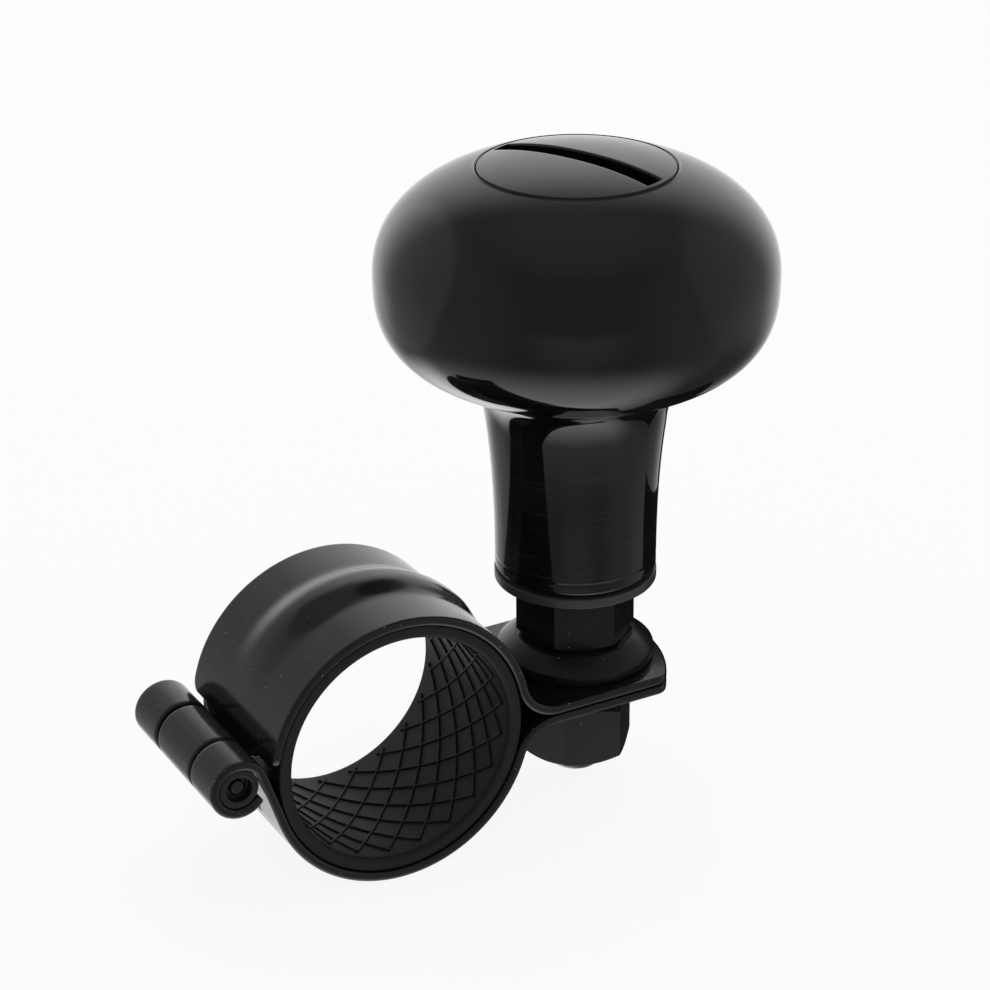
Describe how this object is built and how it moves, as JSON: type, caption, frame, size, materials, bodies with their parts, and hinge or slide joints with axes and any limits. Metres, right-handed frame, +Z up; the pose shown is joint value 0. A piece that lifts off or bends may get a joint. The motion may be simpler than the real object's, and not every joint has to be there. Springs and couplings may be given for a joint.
{
  "type": "steering wheel spinner knob",
  "caption": "Ball-headed spinner knob on a ball-bearing spindle, bolted to a hinged two-piece rubber-lined clamp for a steering wheel rim",
  "frame": {"origin": "middle of the clamp bore, on its axis", "axes": "+Y along the clamp bore, +X from the bore towards the spindle, +Z up along the spindle to the knob"},
  "size_m": [0.1038, 0.0634, 0.1085],
  "materials": {
    "gloss_black_plastic": "moulded and polished, high gloss",
    "black_painted_sheet": "semi-gloss black paint",
    "black_steel": "black paint",
    "satin_black_steel": "satin black",
    "black_rubber": "matt",
    "spring_steel": "plain",
    "bearing_steel": "ground",
    "bright_steel": "zinc plated",
    "cage_brass": "plain"
  },
  "bodies": {
    "clamp": {"upper_band": "black_painted_sheet", "upper_liner": "black_rubber", "hinge_pin": "black_steel", "spindle": "black_steel", "dust_washer": "satin_black_steel", "base_washer": "black_steel", "lower_inner_ring": "bearing_steel", "bearing_spacer": "bright_steel", "upper_inner_ring": "bearing_steel", "retaining_washer": "bright_steel", "retaining_nut": "bright_steel"},
    "jaw": {"lower_band": "black_painted_sheet", "lower_liner": "black_rubber"},
    "knob": {"knob_body": "gloss_black_plastic", "knob_cap": "gloss_black_plastic", "snap_ring": "spring_steel", "lower_outer_ring": "bearing_steel", "upper_outer_ring": "bearing_steel"},
    "ball_sets": {"lower_balls": "bearing_steel", "lower_cage": "cage_brass", "upper_balls": "bearing_steel", "upper_cage": "cage_brass"},
    "nut_stack": {"clamp_nut": "black_steel", "lock_washer": "black_steel", "flat_washer": "black_steel"}
  },
  "joints": [
    {"name": "knob_spin", "type": "hinge", "parent": "clamp", "child": "knob", "pos_m": [0.0395, 0, 0.05], "axis": [0, 0, 1], "continuous": true},
    {"name": "ball_sets_spin", "type": "hinge", "parent": "clamp", "child": "ball_sets", "pos_m": [0.0395, 0, 0.05], "axis": [0, 0, 1], "continuous": true},
    {"name": "nut_off", "type": "slide", "parent": "clamp", "child": "nut_stack", "axis": [0, 0, -1], "range_m": [0, 0.0636]},
    {"name": "jaw_swing", "type": "hinge", "parent": "clamp", "child": "jaw", "pos_m": [-0.0278, 0, 0.0013], "axis": [0, 1, 0], "range_deg": [0, 45]}
  ],
  "couplings": [
    {"joint": "ball_sets_spin", "follows": "knob_spin", "ratio": 0.6315},
    {"joint": "jaw_swing", "follows": "nut_off", "rad_per_m": 12.3}
  ]
}
